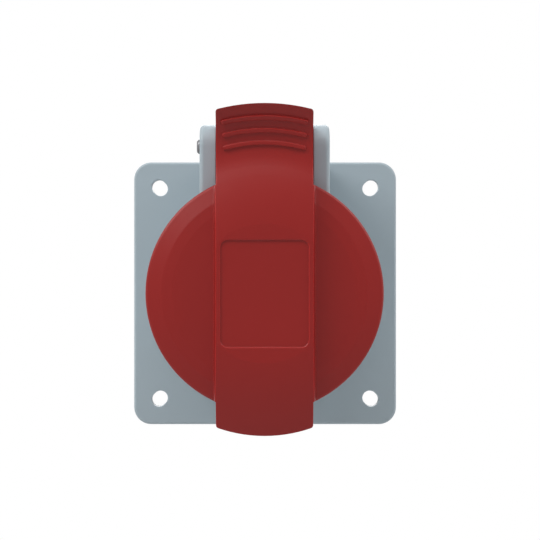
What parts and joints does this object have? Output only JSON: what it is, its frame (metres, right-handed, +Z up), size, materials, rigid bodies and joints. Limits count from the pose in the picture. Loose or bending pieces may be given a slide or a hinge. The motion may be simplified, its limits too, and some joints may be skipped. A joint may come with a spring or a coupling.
{
  "type": "industrial panel socket",
  "caption": "Square-flanged panel socket with round contacts in a collar and a sprung, hinged lid that covers them.",
  "frame": {"origin": "centre of the mounting plane, at the rear face of the flange's seal", "axes": "+X right seen from the front, +Z up towards the hinge, +Y to the rear through the panel"},
  "size_m": [0.087, 0.0839, 0.1011],
  "materials": {
    "housing_plastic": "satin",
    "lid_plastic": "satin",
    "insert_plastic": "satin",
    "rubber": "matte",
    "brass": "turned",
    "steel": "bright"
  },
  "bodies": {
    "fixed": {"housing": "housing_plastic", "flange_seal": "rubber", "insert_flange": "insert_plastic", "insert_screws": "steel", "hinge_pin": "steel", "lid_spring": "steel", "carrier_pe": "insert_plastic", "carrier_l1": "insert_plastic", "carrier_l2": "insert_plastic", "carrier_l3": "insert_plastic", "carrier_n": "insert_plastic", "terminal_pe": "insert_plastic", "terminal_l1": "insert_plastic", "terminal_l2": "insert_plastic", "terminal_l3": "insert_plastic", "terminal_n": "insert_plastic", "contact_pe": "brass", "contact_l1": "brass", "contact_l2": "brass", "contact_l3": "brass", "contact_n": "brass", "contact_clip_pe": "steel", "contact_clip_l1": "steel", "contact_clip_l2": "steel", "contact_clip_l3": "steel", "contact_clip_n": "steel", "clamp_screws": "steel"},
    "lid": {"lid": "lid_plastic", "lid_seal": "rubber"}
  },
  "joints": [
    {"name": "lid_hinge", "type": "hinge", "parent": "fixed", "child": "lid", "pos_m": [0, -0.0403, 0.04603], "axis": [-1, 0, 0], "range_deg": [0, 135], "stiffness_Nm_per_rad": 0.12, "springref_deg": -51.57, "deforming": ["lid_spring"]}
  ]
}
